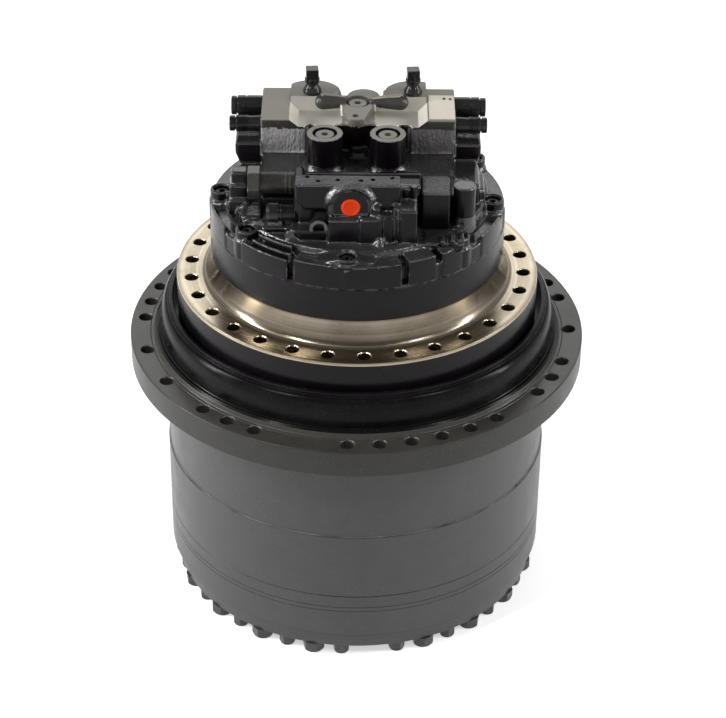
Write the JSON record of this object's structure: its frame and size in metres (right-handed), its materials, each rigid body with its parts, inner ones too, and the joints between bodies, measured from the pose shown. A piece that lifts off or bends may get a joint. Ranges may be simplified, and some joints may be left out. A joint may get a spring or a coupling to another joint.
{
  "type": "excavator final drive",
  "caption": "Track final drive: a flanged planetary gear hub with a bolted end cover, turning about the spindle of a hydraulic piston motor.",
  "frame": {"origin": "on the hub axis, in the plane of the end cover's bolt heads that the drive stands on", "axes": "+Z along the hub axis from the end cover to the motor; -Y towards the pilot port side, +X to the right seen from that side"},
  "size_m": [0.64, 0.64, 0.7436],
  "materials": {
    "drum_paint": "satin charcoal paint",
    "flange_paint": "semi-gloss near-black paint",
    "motor_paint": "gloss black paint on rough casting",
    "machined_steel": "turned bright steel",
    "gear_steel": "ground gear steel",
    "cast_iron": "bare casting",
    "black_rubber": "matte",
    "friction_lining": "matte paper lining",
    "red_plastic": "smooth moulded cap"
  },
  "bodies": {
    "motor": {"motor_housing": "motor_paint", "rear_cover": "motor_paint", "second_carrier": "cast_iron", "second_planet_pin_1": "gear_steel", "second_planet_pin_2": "gear_steel", "second_planet_pin_3": "gear_steel", "upper_bearing_inner_race": "gear_steel", "lower_bearing_inner_race": "gear_steel", "bearing_nut": "gear_steel", "fixed_seal_ring": "cast_iron", "valve_plate": "gear_steel", "shaft_front_bearing": "gear_steel", "shaft_rear_bearing": "gear_steel", "shaft_seal": "black_rubber", "brake_separator": "gear_steel", "brake_disc_spring": "gear_steel", "port_plug_left": "motor_paint", "port_plug_right": "motor_paint", "port_plug_rear": "motor_paint", "pilot_port_plug": "red_plastic", "spool_cap_left": "motor_paint", "pilot_valve_block": "motor_paint", "relief_valve_left_rear": "motor_paint", "relief_valve_left_front": "motor_paint", "relief_valve_right_rear": "motor_paint", "relief_valve_right_front": "motor_paint", "pilot_relief_valve": "motor_paint", "fitting_left": "motor_paint", "fitting_right": "motor_paint"},
    "hub": {"hub": "flange_paint", "first_ring_gear": "drum_paint", "second_ring_gear": "drum_paint", "end_cover": "drum_paint", "drain_plug": "machined_steel", "level_plug": "machined_steel", "thrust_pad": "gear_steel", "upper_bearing_outer_race": "gear_steel", "lower_bearing_outer_race": "gear_steel", "rotating_seal_ring": "cast_iron"},
    "upper_rollers": {"upper_bearing_rollers": "machined_steel"},
    "lower_rollers": {"lower_bearing_rollers": "machined_steel"},
    "first_carrier": {"first_carrier": "cast_iron", "first_planet_pin_1": "gear_steel", "first_planet_pin_2": "gear_steel", "first_planet_pin_3": "gear_steel", "second_sun": "gear_steel"},
    "first_planet_1": {"first_planet_1": "gear_steel"},
    "first_planet_2": {"first_planet_2": "gear_steel"},
    "first_planet_3": {"first_planet_3": "gear_steel"},
    "second_planet_1": {"second_planet_1": "gear_steel"},
    "second_planet_2": {"second_planet_2": "gear_steel"},
    "second_planet_3": {"second_planet_3": "gear_steel"},
    "input": {"first_sun": "gear_steel", "motor_shaft": "gear_steel", "cylinder_block": "gear_steel", "brake_friction_disc": "friction_lining"},
    "swash_plate": {"swash_plate": "gear_steel"},
    "brake_piston": {"brake_piston": "cast_iron"},
    "spool": {"counterbalance_spool": "gear_steel"}
  },
  "joints": [
    {"name": "hub_spin", "type": "hinge", "parent": "motor", "child": "hub", "pos_m": [0, 0, 0.2135], "axis": [0, 0, 1], "continuous": true},
    {"name": "upper_rollers_spin", "type": "hinge", "parent": "motor", "child": "upper_rollers", "pos_m": [0, 0, 0.33], "axis": [0, 0, 1], "continuous": true},
    {"name": "lower_rollers_spin", "type": "hinge", "parent": "motor", "child": "lower_rollers", "pos_m": [0, 0, 0.24], "axis": [0, 0, 1], "continuous": true},
    {"name": "first_carrier_spin", "type": "hinge", "parent": "motor", "child": "first_carrier", "pos_m": [0, 0, 0.0989], "axis": [0, 0, 1], "continuous": true},
    {"name": "first_planet_1_spin", "type": "hinge", "parent": "first_carrier", "child": "first_planet_1", "pos_m": [0, 0.126, 0.0566], "axis": [0, 0, 1], "continuous": true},
    {"name": "first_planet_2_spin", "type": "hinge", "parent": "first_carrier", "child": "first_planet_2", "pos_m": [-0.10912, -0.063, 0.0566], "axis": [0, 0, 1], "continuous": true},
    {"name": "first_planet_3_spin", "type": "hinge", "parent": "first_carrier", "child": "first_planet_3", "pos_m": [0.10912, -0.063, 0.0566], "axis": [0, 0, 1], "continuous": true},
    {"name": "second_planet_1_spin", "type": "hinge", "parent": "motor", "child": "second_planet_1", "pos_m": [0, 0.135, 0.1222], "axis": [0, 0, 1], "continuous": true},
    {"name": "second_planet_2_spin", "type": "hinge", "parent": "motor", "child": "second_planet_2", "pos_m": [-0.11691, -0.0675, 0.1222], "axis": [0, 0, 1], "continuous": true},
    {"name": "second_planet_3_spin", "type": "hinge", "parent": "motor", "child": "second_planet_3", "pos_m": [0.11691, -0.0675, 0.1222], "axis": [0, 0, 1], "continuous": true},
    {"name": "input_spin", "type": "hinge", "parent": "motor", "child": "input", "pos_m": [0, 0, 0.2462], "axis": [0, 0, 1], "continuous": true},
    {"name": "swash_tilt", "type": "hinge", "parent": "motor", "child": "swash_plate", "pos_m": [0, 0, 0.3535], "axis": [1, 0, 0], "range_deg": [-8, 0], "stiffness_Nm_per_rad": 20, "springref_deg": 5.73},
    {"name": "brake_release", "type": "slide", "parent": "motor", "child": "brake_piston", "axis": [0, 0, 1], "range_m": [0, 0.003], "stiffness_N_per_m": 20000, "springref_m": -0.005, "deforming": ["brake_disc_spring"]},
    {"name": "spool_shift", "type": "slide", "parent": "motor", "child": "spool", "axis": [1, 0, 0], "range_m": [-0.008, 0.008], "stiffness_N_per_m": 2000}
  ],
  "couplings": [
    {"joint": "upper_rollers_spin", "follows": "hub_spin", "ratio": 0.52},
    {"joint": "lower_rollers_spin", "follows": "hub_spin", "ratio": 0.52},
    {"joint": "first_carrier_spin", "follows": "hub_spin", "ratio": -4},
    {"joint": "first_planet_1_spin", "follows": "hub_spin", "ratio": 12},
    {"joint": "first_planet_2_spin", "follows": "hub_spin", "ratio": 12},
    {"joint": "first_planet_3_spin", "follows": "hub_spin", "ratio": 12},
    {"joint": "second_planet_1_spin", "follows": "hub_spin", "ratio": 2.6667},
    {"joint": "second_planet_2_spin", "follows": "hub_spin", "ratio": 2.6667},
    {"joint": "second_planet_3_spin", "follows": "hub_spin", "ratio": 2.6667},
    {"joint": "input_spin", "follows": "hub_spin", "ratio": -34}
  ]
}
